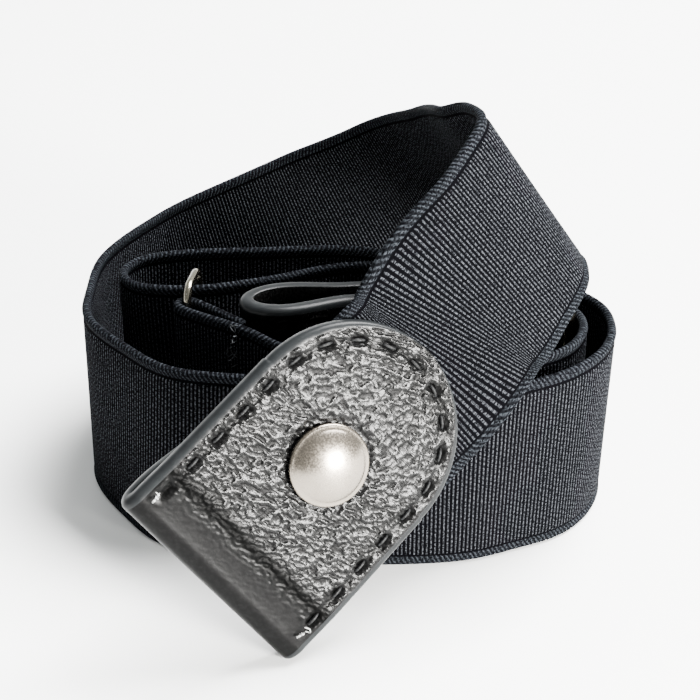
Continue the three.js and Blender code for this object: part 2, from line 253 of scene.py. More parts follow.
@dataclass(frozen=True)
class LeatherFinish:
    """Coated split leather, black and glossy, embossed with a small wrinkled pebble grain.

    The grain's hollows, the stitch dimples and the leather near the fold are duller and
    rougher, and are painted darker as painted shade, while the grain's crests are painted
    lighter as painted light; this gives the eye sparks on a dark ground.
    """

    # Painted shade and light: the grain's hollows take the darker colour, its crests the lighter one.
    hollow: str = "#050505"
    painted_crest_light: str = "#151515"
    painted_shade_tone: str = "#020202"
    roughness: float = 0.15
    pressed_roughness: float = 0.4
    gloss: float = 0.12
    pressed_gloss: float = 0.015
    pebble_mm: float = 0.42
    pebble_height_mm: float = 0.025
    fold_grain: float = 0.12

    def material(self) -> bpy.types.Material:
        """Build the grained leather, whose grain fades where the leather is pulled round a fold.

        Returns:
            The material.
        """
        material, tree, shader = new_material("black_grained_leather")
        place = add_node(tree, "UVMap", uv_map="grain")
        pulled = add_node(tree, "Attribute", out="Fac", attribute_name="pulled_smooth")
        turned = add_node(
            tree,
            "Mapping",
            {
                "Vector": place,
                "Rotation": (0.0, 0.0, math.radians(-32)),
                "Scale": (1.25 / self.pebble_mm, 0.75 / self.pebble_mm, 1.0),
            },
        )
        bend = add_node(
            tree, "TexNoise", {"Vector": turned, "Scale": 0.55, "Detail": 3.0}, out="Color"
        )
        warped = add_node(
            tree, "VectorMath", bend, (2.2, 2.2, 0.0), turned, operation="MULTIPLY_ADD"
        )
        pebbles = add_node(
            tree,
            "TexVoronoi",
            {"Vector": warped, "Scale": 1.0, "Smoothness": 0.45},
            feature="SMOOTH_F1",
        )
        fine = add_node(tree, "TexNoise", {"Vector": warped, "Scale": 1.7, "Detail": 3.0})
        height = add_node(tree, "Math", fine, 1.1, operation="MULTIPLY")
        height = add_node(tree, "Math", height, pebbles, operation="SUBTRACT")
        strength = add_node(tree, "MapRange", pulled, 0.0, 1.0, 1.0, self.fold_grain)
        # Painted light and shade: the higher grain is painted lighter, the lower darker.
        painted_crest_light = add_node(tree, "MapRange", height, -0.1, 0.5)
        tones = {0: painted_crest_light, 6: linear(self.hollow), 7: linear(self.painted_crest_light)}
        colour = add_node(tree, "Mix", tones, out=2, data_type="RGBA")
        # Painted shade: stitch dimples, the leather near the fold and the grain's hollows are painted
        # darker.
        pressed = add_node(tree, "Attribute", out="Fac", attribute_name="pressed")
        tones = {0: pressed, 6: colour, 7: linear(self.painted_shade_tone)}
        colour = add_node(tree, "Mix", tones, out=2, data_type="RGBA")
        rough = add_node(
            tree, "MapRange", pressed, 0.0, 1.0, self.roughness, self.pressed_roughness
        )
        bump = add_node(
            tree,
            "Bump",
            {
                "Strength": strength,
                "Distance": self.pebble_height_mm * MM,
                "Height": height,
            },
        )
        gloss = add_node(tree, "MapRange", pressed, 0.0, 1.0, self.gloss, self.pressed_gloss)
        links = {"Base Color": colour, "Roughness": rough, "Normal": bump}
        dress(tree, shader, links | {"Specular IOR Level": gloss}, {})
        return material


@dataclass(frozen=True)
class EdgePaintFinish:
    """Acrylic edge paint on cut leather: dark grey, satin, with faint brush waves in it."""

    thin: str = "#0d0e0f"
    thick: str = "#1a1c1d"
    roughness: float = 0.36
    wave_mm: float = 2.2

    def material(self) -> bpy.types.Material:
        """Build the edge paint.

        Returns:
            The material.
        """
        material, tree, shader = new_material("grey_edge_paint")
        place = add_node(tree, "TexCoord", out="Object")
        wave = add_node(
            tree,
            "TexNoise",
            {"Vector": place, "Scale": 1 / (self.wave_mm * MM), "Detail": 3.0},
        )
        tones = {0: wave, 6: linear(self.thin), 7: linear(self.thick)}
        colour = add_node(tree, "Mix", tones, out=2, data_type="RGBA")
        bump = add_node(tree, "Bump", {"Strength": 0.35, "Distance": 0.1 * MM, "Height": wave})
        links = {"Base Color": colour, "Normal": bump}
        dress(tree, shader, links, {"Roughness": self.roughness, "Specular IOR Level": 0.1})
        return material


@dataclass(frozen=True)
class MetalFinish:
    """Nickel plate over brass or steel: warm metal with fine rubbing scratches."""

    name: str
    bright: str
    dull: str
    roughness: float
    cloud_mm: float = 3.5
    scratch_mm: float = 0.3

    def material(self) -> bpy.types.Material:
        """Build the plated metal.

        Returns:
            The material.
        """
        material, tree, shader = new_material(self.name)
        place = add_node(tree, "TexCoord", out="Object")
        cloud = add_node(
            tree,
            "TexNoise",
            {"Vector": place, "Scale": 1 / (self.cloud_mm * MM), "Detail": 5.0},
        )
        tones = {0: cloud, 6: linear(self.dull), 7: linear(self.bright)}
        colour = add_node(tree, "Mix", tones, out=2, data_type="RGBA")
        scratch = add_node(
            tree,
            "TexNoise",
            {"Vector": place, "Scale": 1 / (self.scratch_mm * MM), "Detail": 4.0},
        )
        low, high = self.roughness - 0.08, self.roughness + 0.08
        rough = add_node(tree, "MapRange", scratch, 0.3, 0.7, low, high)
        bump = add_node(
            tree, "Bump", {"Strength": 0.12, "Distance": 0.02 * MM, "Height": scratch}
        )
        links = {"Base Color": colour, "Roughness": rough, "Normal": bump}
        dress(tree, shader, links, {"Metallic": 1.0})
        return material


@dataclass(frozen=True)
class ThreadFinish:
    """Bonded nylon sewing thread, black and a little glossy, its twist drawn as a fine hatch."""

    name: str = "black_nylon_thread"
    shade: str = "#030303"
    ply: str = "#121314"
    twist_mm: float = 0.5
    roughness: float = 0.55

    def material(self) -> bpy.types.Material:
        """Build the thread.

        Returns:
            The material.
        """
        material, tree, shader = new_material(self.name)
        place = add_node(tree, "TexCoord", out="Object")
        twist = add_node(
            tree,
            "TexWave",
            {"Vector": place, "Scale": 0.3 / (self.twist_mm * MM), "Distortion": 1.0},
            out="Fac",
            bands_direction="DIAGONAL",
        )
        tones = {0: twist, 6: linear(self.shade), 7: linear(self.ply)}
        colour = add_node(tree, "Mix", tones, out=2, data_type="RGBA")
        values = {"Roughness": self.roughness, "Specular IOR Level": 0.15}
        dress(tree, shader, {"Base Color": colour}, values)
        return material


def mesh_object(
    name: str,
    points: np.ndarray,
    faces: np.ndarray,
    materials: list[bpy.types.Material],
    slots: np.ndarray | None = None,
    uv: tuple[str, np.ndarray] | None = None,
) -> bpy.types.Object:
    """Make a smooth mesh object at the origin from arrays.

    Args:
        name: name of the piece.
        points: vertices in millimetres, in the row frame.
        faces: quads as rows of four vertex numbers.
        materials: materials of the piece.
        slots: material number of each face.
        uv: name of the map and its values for each corner of each face.

    Returns:
        The linked object.
    """
    mesh = bpy.data.meshes.new(name)
    mesh.vertices.add(len(points))
    mesh.vertices.foreach_set("co", (points * MM).astype(np.float32).ravel())
    corners = faces.shape[1]
    mesh.loops.add(faces.size)
    mesh.loops.foreach_set("vertex_index", faces.astype(np.int32).ravel())
    mesh.polygons.add(len(faces))
    mesh.polygons.foreach_set("loop_start", np.arange(0, faces.size, corners, dtype=np.int32))
    mesh.polygons.foreach_set("use_smooth", np.ones(len(faces), dtype=bool))
    if slots is not None:
        mesh.polygons.foreach_set("material_index", slots.astype(np.int32))
    mesh.update(calc_edges=True)
    if uv is not None:
        layer = mesh.uv_layers.new(name=uv[0])
        layer.data.foreach_set("uv", uv[1].astype(np.float32).ravel())
    mesh.validate()
    for material in materials:
        mesh.materials.append(material)
    piece = bpy.data.objects.new(name, mesh)
    bpy.context.scene.collection.objects.link(piece)
    return piece


def hoop_faces(rings: int, sides: int, closed: bool) -> np.ndarray:
    """Quads that join rings of points.

    Args:
        rings: number of rings.
        sides: points in a ring, which closes on itself.
        closed: whether the last ring joins the first.

    Returns:
        Faces, one row for each ring step and side.
    """
    ring = np.arange(rings if closed else rings - 1)[:, None]
    side = np.arange(sides)[None, :]
    following = (ring + 1) % rings
    beside = (side + 1) % sides
    quads = [ring * sides + side, ring * sides + beside]
    quads += [following * sides + beside, following * sides + side]
    return np.stack(np.broadcast_arrays(*quads), axis=-1).reshape(-1, 4)


def cap_ends(faces: np.ndarray, rings: int, sides: int) -> np.ndarray:
    """Close a tube's two ends with strips of quads across the section.

    Args:
        faces: faces so far.
        rings: number of rings.
        sides: even number of points in a ring.

    Returns:
        The faces with both ends closed.
    """
    half = sides // 2
    low = np.arange(half - 1)
    strip = np.stack([low, low + 1, sides - 2 - low, sides - 1 - low], axis=-1)
    last = (rings - 1) * sides
    return np.concatenate([faces, strip[:, ::-1], strip + last])


def tube(
    path: np.ndarray, radius: np.ndarray | float, sides: int, closed: bool = False
) -> tuple[np.ndarray, np.ndarray]:
    """Carry a circle along a path, turned as little as possible.

    Args:
        path: points of the middle line.
        radius: one radius, or one for each point.
        sides: points round the circle.
        closed: whether the path is a closed loop.

    Returns:
        Vertices and faces.
    """
    step = np.roll(path, -1, 0) - np.roll(path, 1, 0) if closed else np.gradient(path, axis=0)
    forward = unit(step)
    spread = path - path.mean(0)
    flat_way = np.linalg.svd(spread, full_matrices=False)[2][-1]
    side_way = unit(np.cross(forward, flat_way) + 1e-9)
    other = np.cross(forward, side_way)
    angle = np.linspace(0, 2 * np.pi, sides, endpoint=False)
    radius = np.broadcast_to(np.asarray(radius, float), len(path))[:, None, None]
    circle = np.cos(angle)[None, :, None] * side_way[:, None]
    circle = circle + np.sin(angle)[None, :, None] * other[:, None]
    points = (path[:, None] + radius * circle).reshape(-1, 3)
    faces = hoop_faces(len(path), sides, closed)
    if not closed:
        faces = cap_ends(faces, len(path), sides)
    return points, faces


@dataclass(frozen=True)
class Row:
    """One section of the webbing's route, as shares of the coil and of the webbing's width."""

    across: float
    deep: float
    rise: float
    lean: float = 0.0


@dataclass
class Placing:
    """Frames along a band: middle points, way along, way up across it, and out of its face."""

    points: np.ndarray
    along: np.ndarray
    across: np.ndarray
    out: np.ndarray


def lean_frames(points: np.ndarray, along: np.ndarray, lean_deg: np.ndarray) -> Placing:
    """Frames of a band whose upper edge leans towards the inside of the coil.

    Args:
        points: middle points.
        along: unit vectors along the band.
        lean_deg: lean at each point, in degrees.

    Returns:
        The placing.
    """
    up = unit(UP - along * along[:, 2:3])
    side = np.cross(along, up)
    lean = np.radians(lean_deg)[:, None]
    across = np.cos(lean) * up - np.sin(lean) * side
    return Placing(points, along, across, np.cross(along, across))


def through_rows(points: np.ndarray, where: np.ndarray, power: float | None) -> np.ndarray:
    """Catmull-Rom curve through points.

    The tangents are the centripetal ones, from the distances between points raised to
    `power`, or half the chord between neighbours where power is None.

    Args:
        points: rows to go through.
        where: places along, 0 at the first row and rows - 1 at the last.
        power: share of the distance, 0.5 for a centripetal curve.

    Returns:
        A point for each place.
    """
    padded = np.concatenate(
        [2 * points[:1] - points[1:2], points, 2 * points[-1:] - points[-2:-1]]
    )
    index = np.clip(np.floor(where).astype(int), 0, len(points) - 2)
    share = (where - index)[:, None]
    p0, p1, p2, p3 = (padded[index + k] for k in range(4))
    if power is None:
        t1, t2 = (p2 - p0) / 2, (p3 - p1) / 2
    else:
        d0, d1, d2 = (
            np.linalg.norm(b - a, axis=1, keepdims=True) ** power
            for a, b in ((p0, p1), (p1, p2), (p2, p3))
        )
        t1 = ((p1 - p0) / d0 - (p2 - p0) / (d0 + d1) + (p2 - p1) / d1) * d1
        t2 = ((p2 - p1) / d1 - (p3 - p1) / (d1 + d2) + (p3 - p2) / d2) * d1
    bend = 2 * p1 - 2 * p2 + t1 + t2
    sag = -3 * p1 + 3 * p2 - 2 * t1 - t2
    return p1 + t1 * share + sag * share**2 + bend * share**3


@dataclass
class BeltSizes:
    """Driving sizes of the belt, in millimetres and degrees, as the solids have them."""

    webbing_width: float = 35.0
    webbing_thickness: float = 1.5
    coil_width: float = 96.0
    coil_depth: float = 100.0
    tab_width: float = 40.0
    tab_taper: float = 1.0
    tab_length: float = 51.2
    leather: float = 2.5
    clearance: float = 0.3
    snap_from_fold: float = 26.9
    cap_radius: float = 6.85
    slider_wire: float = 1.4
    slider_clear_height: float = 38.2
    slider_spacing: float = 9.6
    slider_heading: float = 82.0
    slider_front: tuple[float, float] = (-0.3, 0.032)
    leg_through_slider: float = 0.68
    ring_wire: float = 2.2
    ring_clear_height: float = 36.0
    ring_spacing: float = 8.0
    ring_heading: float = -20.0

    def row_point(self, row: Row) -> np.ndarray:
        """Middle point of a row, before the belt is centred."""
        scale = [self.coil_width, self.coil_depth, self.webbing_width]
        return np.array([row.across, row.deep, row.rise]) * scale

    def slider_bar(self) -> np.ndarray:
        """Place of the slider's front bar on the floor."""
        return self.row_point(Row(*self.slider_front, 0.0))

    def slider_way(self) -> np.ndarray:
        """Unit vector from the slider's front bar to its back bar."""
        angle = math.radians(self.slider_heading)
        return np.array([math.cos(angle), math.sin(angle), 0.0])

    def centre_shift(self) -> np.ndarray:
        """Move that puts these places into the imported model's frame, read from its slider."""
        low, high = (np.array(corner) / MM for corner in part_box("slider"))
        middle = self.slider_bar() + self.slider_way() * self.slider_spacing / 2
        return np.array([(low[0] + high[0]) / 2, (low[1] + high[1]) / 2, low[2]]) - middle


@dataclass
class TabShape:
    """How one tab is folded and where it lies."""

    name: str
    heading: float
    climb: float
    lean: float
    bend: float
    fold_length: float
    front_bulge: float
    back_bulge: float
    flat_from: float
    front_from: float
    front_length: float
    back_length: float
    panel_gap: float
    back_inset: float


FRONT_TAB = TabShape(
    name="front_tab", heading=34.2, climb=35.0, lean=18.5, bend=0.0, fold_length=3.0,
    front_bulge=-0.5, back_bulge=-1.3, flat_from=24.0, front_from=11.0,
    front_length=51.2, back_length=44.0, panel_gap=2.1, back_inset=2.2,
)
SECOND_TAB = TabShape(
    name="second_tab", heading=17.5, climb=0.0, lean=0.0, bend=-24.0, fold_length=8.0,
    front_bulge=1.8, back_bulge=1.7, flat_from=19.0, front_from=19.0,
    front_length=43.0, back_length=41.6, panel_gap=3.1, back_inset=0.0,
)
FRONT_FOLD_AT = Row(-0.226, -0.538, 0.459)
# Rise of a section whose lower edge stands on the floor.
FLOOR = 0.5

OUTER_ROWS = (
    Row(0.191, -0.231, 1.426, 26.8),
    Row(0.265, -0.16, 1.611, 27.3),
    Row(0.322, -0.052, 1.748, 33.6),
    Row(0.307, 0.06, 1.709, 34.1),
    Row(0.274, 0.164, 1.588, 36.5),
    Row(0.223, 0.382, 1.311, 29.4),
    Row(0.103, 0.562, 1.003, 15.7),
    Row(-0.06, 0.608, 0.78, 5.7),
    Row(-0.225, 0.575, 0.626, 2.7),
    Row(-0.381, 0.484, 0.512, -1.0),
    Row(-0.488, 0.303, FLOOR, 1.0),
    Row(-0.497, 0.16, FLOOR),
    Row(-0.486, 0.04, FLOOR),
    Row(-0.413, -0.075, FLOOR, 2.8),
    Row(-0.325, -0.166, FLOOR, 5.0),
    Row(-0.169, -0.205, FLOOR, 8.0),
    Row(-0.03, -0.213, FLOOR, 5.0),
    Row(0.085, -0.227, FLOOR, 1.0),
    Row(0.215, -0.225, FLOOR, -3.0),
    Row(0.31, -0.19, FLOOR, -4.0),
    Row(0.392, -0.145, FLOOR, -3.0),
    Row(0.452, -0.072, FLOOR, -3.0),
    Row(0.477, 0.012, FLOOR, -2.0),
    Row(0.468, 0.095, FLOOR),
    Row(0.405, 0.165, FLOOR),
    Row(0.315, 0.196, FLOOR),
    Row(0.165, 0.253, 0.515),
    Row(0.02, 0.3, 0.535),
    Row(-0.175, 0.285, 0.55),
    Row(-0.345, 0.263, 0.56),
    Row(-0.41, 0.232, 0.565),
    Row(-0.436, 0.175, 0.57),
    Row(-0.405, 0.118, 0.575),
)
INNER_ROWS = (
    Row(-0.155, 0.145, 0.57),
    Row(-0.01, 0.215, 0.555),
    Row(0.16, 0.215, 0.54),
    Row(0.345, 0.14, 0.53),
)
RING_TURN = Row(0.427, 0.025, 0.525)
NEAR_ROWS = (
    Row(0.413, -0.06, 0.525),
    Row(0.36, -0.12, 0.53),
    Row(0.2, -0.172, 0.54),
    Row(0.03, -0.165, 0.56),
    Row(-0.125, -0.118, 0.575),
)
HEM_ROWS = ((-0.175, -0.075), (-0.205, -0.053))
HEM_TURN_ANGLES = (235.0, 180.0, 130.0, 85.0, 40.0)
INSIDE_TAB_FROM = 35.0
BELOW_TAB_MIDDLE = 2.6


@dataclass
class FoldedTab:
    """One leather tab: a strip with a round end, folded over, with painted edges."""

    sizes: BeltSizes
    shape: TabShape
    origin: np.ndarray
    front_step: float = 0.2
    back_step: float = 0.6
    face_columns: int = 186
    inner_columns: int = 14
    edge_columns: int = 8
    paint_border: float = 1.25
    inner_border: float = 0.25
    grain_along: float = 0.32
    grain_across: float = 0.66
    grain_height: float = 0.17
    stitch_pitch: float = 5.6
    stitch_length: float = 2.6
    stitch_from_edge: float = 3.0
    stitch_from_fold: float = 5.0
    path_step: float = 0.3
    inset_from: float = 4.0
    inset_over: float = 16.0
    leather: bpy.types.Material | None = None
    edge_paint: bpy.types.Material | None = None

    def base_frame(self) -> Placing:
        """Frame at the fold: along the tab, up across it, and out of its front face."""
        heading, climb = math.radians(self.shape.heading), math.radians(self.shape.climb)
        flat = np.array([math.cos(heading), math.sin(heading), 0.0]) * math.cos(climb)
        along = (flat + UP * math.sin(climb))[None]
        return lean_frames(np.zeros((1, 3)), along, np.array([self.shape.lean]))

    def place(self, s: np.ndarray, d: np.ndarray) -> Placing:
        """Points at s along the tab and d out of its face, on the gently bent tab.

        The tab's line is an arc: its chord is s times sin(half turn) / half turn.

        Args:
            s: distances from the fold.
            d: distances out of the front face.

        Returns:
            The placing of those points.
        """
        base = self.base_frame()
        along0, across, out0 = base.along[0], base.across[0], base.out[0]
        turn = np.radians(self.shape.bend) * np.asarray(s, float) / self.sizes.tab_length
        chord = s * np.sinc(turn / 2 / np.pi)

        def way(angle: np.ndarray) -> np.ndarray:
            """Direction along the tab after it has turned by an angle."""
            return np.cos(angle)[:, None] * along0 - np.sin(angle)[:, None] * out0

        along = way(turn)
        out = np.cross(along, across)
        points = self.origin + way(turn / 2) * chord[:, None] + out * np.asarray(d)[:, None]
        return Placing(points, along, np.broadcast_to(across, along.shape), out)

    def section_line(self) -> np.ndarray:
        """Middle line of the strip in the tab's own plane, evenly spaced.

        It runs flat from the round end, eases out to the fold, round a half ellipse, eases
        back in and runs flat to its end.

        Returns:
            Rows of s and d.
        """
        shape, half = self.shape, self.sizes.leather / 2
        front_d = -half
        back_d = -(self.sizes.leather + shape.panel_gap + half)
        top, bottom = front_d + shape.front_bulge, back_d - shape.back_bulge
        ease = np.linspace(0, 1, 40)
        front_run = shape.front_from + (shape.fold_length - shape.front_from) * ease
        back_run = shape.flat_from + (shape.fold_length - shape.flat_from) * ease[::-1]
        angle = np.linspace(0, np.pi, 60)[1:-1]
        reach = shape.fold_length - half
        pieces = [
            np.stack([np.linspace(shape.front_length, shape.front_from, 60), np.full(60, front_d)], 1),
            np.stack([front_run, front_d + (top - front_d) * smooth_step(ease)], 1)[1:],
            np.stack(
                [
                    shape.fold_length - reach * np.sin(angle),
                    (top + bottom) / 2 + (top - bottom) / 2 * np.cos(angle),
                ],
                1,
            ),
            np.stack([back_run, bottom + (back_d - bottom) * smooth_step(ease)], 1),
            np.stack([np.linspace(shape.flat_from, shape.back_length, 30), np.full(30, back_d)], 1)[1:],
        ]
        return self.evenly(np.concatenate(pieces + self.tail(back_d)))

    @property
    def round_back(self) -> bool:
        """Whether the back panel has a round end of its own."""
        return True

    def tail(self, back_d: float) -> list[np.ndarray]:
        """Further stretches after the back panel; a plain tab has none."""
        return []

    def evenly(self, line: np.ndarray) -> np.ndarray:
        """Resample a line: fine on the front panel, closer at round ends, coarser behind.

        Args:
            line: rows of s and d.

        Returns:
            The resampled rows.
        """
        length = run_along(line)
        fold = length[int(np.argmin(line[:, 0]))]
        radius = self.sizes.tab_width / 2 - self.sizes.tab_taper / 2
        tip = radius * (1 - np.cos(np.radians(np.linspace(4, 90, 96))))
        front = np.arange(tip[-1] + self.front_step, fold, self.front_step)
        where = [tip, front]
        if self.round_back:
            end = length[-1] - radius * (1 - np.cos(np.radians(np.linspace(90, 4, 30))))
            where += [np.arange(fold, end[0] - self.back_step / 2, self.back_step), end]
        else:
            where += [np.arange(fold, length[-1], self.back_step), length[-1:]]
        return np.stack([np.interp(np.concatenate(where), length, line[:, k]) for k in range(2)], 1)

    def rounded(self, s: np.ndarray, length: float) -> np.ndarray:
        """Half width of a panel: a taper, then the chord of its round end.

        Args:
            s: places along the tab.
            length: where the panel ends.

        Returns:
            Half widths.
        """
        sizes = self.sizes
        radius = sizes.tab_width / 2 - sizes.tab_taper / 2
        share = np.clip(s / sizes.tab_length, 0, 1)
        straight = sizes.tab_width / 2 - sizes.tab_taper / 2 * share
        past = s - (length - radius)
        end = np.sqrt(np.maximum(radius**2 - past**2, 1.0))
        return np.where(past > 0, np.minimum(straight, end), straight)

    def half_widths(self, line: np.ndarray, front: np.ndarray) -> np.ndarray:
        """Half the strip's width along it, with its taper and its round end.

        Args:
            line: the strip's middle line.
            front: whether each point is on the front panel.

        Returns:
            Half widths.
        """
        s = line[:, 0]
        plain = self.rounded(s, np.inf)
        inset = self.shape.back_inset * smooth_step((s - self.inset_from) / self.inset_over)
        end = self.rounded(s, self.shape.back_length) if self.round_back else plain
        back = np.minimum(plain - inset, end)
        return np.where(front, self.rounded(s, self.shape.front_length), back)

    def build(self) -> bpy.types.Object:
        """Build the leather strip: grained face, stitch dimples and rounded painted edges.

        The section runs across the outer face, round one edge, back across the inner face and
        round the other edge. At a turn of `angle` an edge stands `border` times 1 minus the
        sine's power inside the panel's width, and half the leather times the cosine from its
        middle, so that the outer corner is rounded over the whole painted border.

        Returns:
            The piece.
        """
        line = self.section_line()
        fold_at = int(np.argmin(line[:, 0]))
        front = np.arange(len(line)) < fold_at
        half_width = self.half_widths(line, front)
        run = unit(np.gradient(line, axis=0))
        placed = self.place(line[:, 0], line[:, 1])
        along = run[:, :1] * placed.along + run[:, 1:] * placed.out
        out = np.cross(placed.across, along)
        length = run_along(line)
        half = self.sizes.leather / 2
        border, inner_border = self.paint_border, self.inner_border
        angle = np.linspace(0, np.pi, self.edge_columns + 2)[1:-1]
        reach = half_width[:, None]
        outer_v = np.linspace(-1, 1, self.face_columns)[None] * (reach - border)
        inner_v = np.linspace(1, -1, self.inner_columns)[None] * (reach - inner_border)
        wide = np.where(angle < np.pi / 2, border, inner_border)
        side_v = reach - (wide * (1 - np.sin(angle) ** 0.8))[None]
        side_d = np.broadcast_to((half * np.cos(angle))[None], side_v.shape)
        fold_run = np.abs(length - length[fold_at])
        height, pressed = self.relief(line, outer_v, half_width, front, fold_run)
        v = np.concatenate([outer_v, side_v, inner_v, -side_v[:, ::-1]], axis=1)
        d = np.concatenate(
            [half + height, side_d, np.full_like(inner_v, -half), side_d[:, ::-1]], axis=1
        )
        points = placed.points[:, None] + v[..., None] * placed.across[:, None]
        points = (points + d[..., None] * out[:, None]).reshape(-1, 3)
        sides = v.shape[1]
        faces = hoop_faces(len(line), sides, False)
        is_edge = np.ones(sides, dtype=int)
        is_edge[: self.face_columns - 1] = 0
        inner_from = self.face_columns + self.edge_columns
        is_edge[inner_from : inner_from + self.inner_columns - 1] = 0
        slots = np.tile(is_edge, len(line) - 1)
        faces, slots = self.close_ends(faces, slots, len(line), sides)
        flat_map = np.stack(
            [np.broadcast_to(length[:, None], v.shape), v + np.sign(d) * 100], axis=-1
        ).reshape(-1, 2)
        piece = mesh_object(
            f"{self.shape.name}_leather",
            points,
            faces,
            [self.leather, self.edge_paint],
            slots,
            ("grain", flat_map[faces.ravel()]),
        )
        smooth = np.repeat(1 - smooth_step((fold_run - 6.5) / 4.0), sides)
        # The pressed share paints shade into the leather's colour and dulls it.
        dark = np.zeros(v.shape)
        dark[:, : self.face_columns] = pressed
        for name, values in (("pulled_smooth", smooth), ("pressed", dark.ravel())):
            attribute = piece.data.attributes.new(name, "FLOAT", "POINT")
            attribute.data.foreach_set("value", values.astype(np.float32))
        return piece

    def close_ends(
        self, faces: np.ndarray, slots: np.ndarray, rings: int, sides: int
    ) -> tuple[np.ndarray, np.ndarray]:
        """Close the strip's two ends with quads from the outer face to the inner one.

        Args:
            faces: quads so far.
            slots: material of each quad.
            rings: number of rings.
            sides: points in a ring.

        Returns:
            The faces with both ends closed and painted as the edge, and their materials.
        """
        columns, edge, inner = self.face_columns, self.edge_columns, self.inner_columns
        top = np.arange(columns)
        share = top / (columns - 1) * (inner - 1)
        below = columns + edge + inner - 1 - np.round(share).astype(int)
        middle = np.stack([top[:-1], top[1:], below[1:], below[:-1]], axis=-1)
        right = self.fan(np.arange(columns - 1, columns + edge + 1))
        left = self.fan(np.append(np.arange(columns + edge + inner - 1, sides), 0))
        end = np.concatenate([middle, right, left])
        last = (rings - 1) * sides
        faces = np.concatenate([faces, end[:, ::-1], end + last])
        return faces, np.concatenate([slots, np.ones(2 * len(end), dtype=int)])

    @staticmethod
    def fan(ring: np.ndarray) -> np.ndarray:
        """Quads that close half a rounded edge, from both ends of an even row of points."""
        low = np.arange(len(ring) // 2 - 1)
        high = len(ring) - 1 - low
        return np.stack([ring[low], ring[low + 1], ring[high - 1], ring[high]], axis=-1)

    def stitch_line(self) -> tuple[np.ndarray, float]:
        """Line of stitches on the front panel, in s and v, along its sides and round end.

        Returns:
            The line's points, at equal steps, and its length.
        """
        sizes, inset = self.sizes, self.stitch_from_edge
        radius = sizes.tab_width / 2 - sizes.tab_taper / 2
        centre = self.shape.front_length - radius
        start = self.stitch_from_fold
        low_v = sizes.tab_width / 2 - inset
        side_s = np.linspace(start, centre, 80)
        angle = np.linspace(-np.pi / 2, np.pi / 2, 160)
        turn = np.stack(
            [centre + (radius - inset) * np.cos(angle), (radius - inset) * np.sin(angle)], 1
        )
        left = np.stack([side_s, -low_v + (low_v - radius + inset) * (side_s - start) / (centre - start)], 1)
        right = np.stack([side_s[::-1], -left[::-1, 1]], 1)
        line = np.concatenate([left, turn[1:-1], right])
        length = run_along(line)
        where = np.arange(0, length[-1], self.path_step)
        return np.stack([np.interp(where, length, line[:, k]) for k in range(2)], 1), length[-1]

    def to_stitches(self, s: np.ndarray, v: np.ndarray) -> tuple[np.ndarray, np.ndarray]:
        """Distance from places on the face to the stitch line, and the run along that line.

        Args:
            s: places along the tab.
            v: places across it.

        Returns:
            Distances, and runs at the nearest point of the line.
        """
        path, _ = self.stitch_line()
        run = np.arange(len(path)) * self.path_step
        gap = np.full(s.shape, 99.0)
        nearest = np.zeros(s.shape)
        for start in range(0, len(path), 40):
            part = path[start : start + 40]
            away = np.hypot(s[..., None] - part[:, 0], v[..., None] - part[:, 1])
            best = away.argmin(-1)
            closest = np.take_along_axis(away, best[..., None], -1)[..., 0]
            nearest = np.where(closest < gap, run[start + best], nearest)
            gap = np.minimum(gap, closest)
        return gap, nearest

    def grain(self, run: np.ndarray, v: np.ndarray) -> np.ndarray:
        """Embossed grain: flat-topped wrinkles, longer across the tab than along it.

        Lattice noise, bent by a coarser one, is cut to plateaus, and a finer one roughens it.

        Args:
            run: places along the strip.
            v: places across it.

        Returns:
            Heights in millimetres.
        """
        bend_run = lattice_noise(run / 2.4, v / 2.4, 3)
        bend_v = lattice_noise(run / 2.4, v / 2.4, 4)
        x = (run + 0.25 * v) / self.grain_along + 2.2 * bend_run
        y = v / self.grain_across + 0.8 * bend_v
        cell = lattice_noise(x, y, 5)
        fine = lattice_noise(x * 2.3, y * 2.3, 6)
        plateau = smooth_step((cell + 0.25 * fine - 0.3) / 0.65)
        return self.grain_height * (plateau - 0.5) + self.grain_height * 0.3 * (fine - 0.5)

    def relief(
        self,
        line: np.ndarray,
        v: np.ndarray,
        half_width: np.ndarray,
        front: np.ndarray,
        fold_run: np.ndarray,
    ) -> tuple[np.ndarray, np.ndarray]:
        """Height of the outer face over the plain strip, and how far stitches press it.

        A shallow groove follows the stitches, with a long dimple under each; the leather is
        pressed down round the cap and swells a little between stitches and edge. The grain fades
        where the leather is pulled round the fold and at the painted border. The share paints shade
        into the leather's colour and dulls it, in the stitch dimples, near the fold and in the
        grain's hollows.

        Args:
            line: the strip's middle line.
            v: places across it.
            half_width: half widths along it.
            front: whether each point is on the front panel.
            fold_run: distance along the strip from the fold.

        Returns:
            Heights in millimetres, and shares from 0 to 1 of painted shade and dullness.
        """
        s = np.broadcast_to(line[:, :1], v.shape)
        run = np.broadcast_to(fold_run[:, None], v.shape)
        height = np.zeros_like(v)
        pressed = np.zeros_like(v)
        rows = np.where(front & (line[:, 0] > self.stitch_from_fold - 3))[0]
        gap, nearest = self.to_stitches(s[rows], v[rows])
        phase = np.abs((nearest / self.stitch_pitch) % 1 - 0.5) * self.stitch_pitch
        dimple = 1 - smooth_step((phase - self.stitch_length / 2 + 0.35) / 0.7)
        ragged = lattice_noise(s[rows] * 1.7, v[rows] * 1.7, 8)
        wide = 0.36 + 0.22 * dimple + 0.25 * ragged
        close = np.exp(-((gap / wide) ** 2))
        swell = 0.10 * np.exp(-(((gap - 1.4) / 0.6) ** 2)) * (0.4 + 0.6 * dimple)
        height[rows] = -(0.13 + 0.34 * dimple) * close + swell
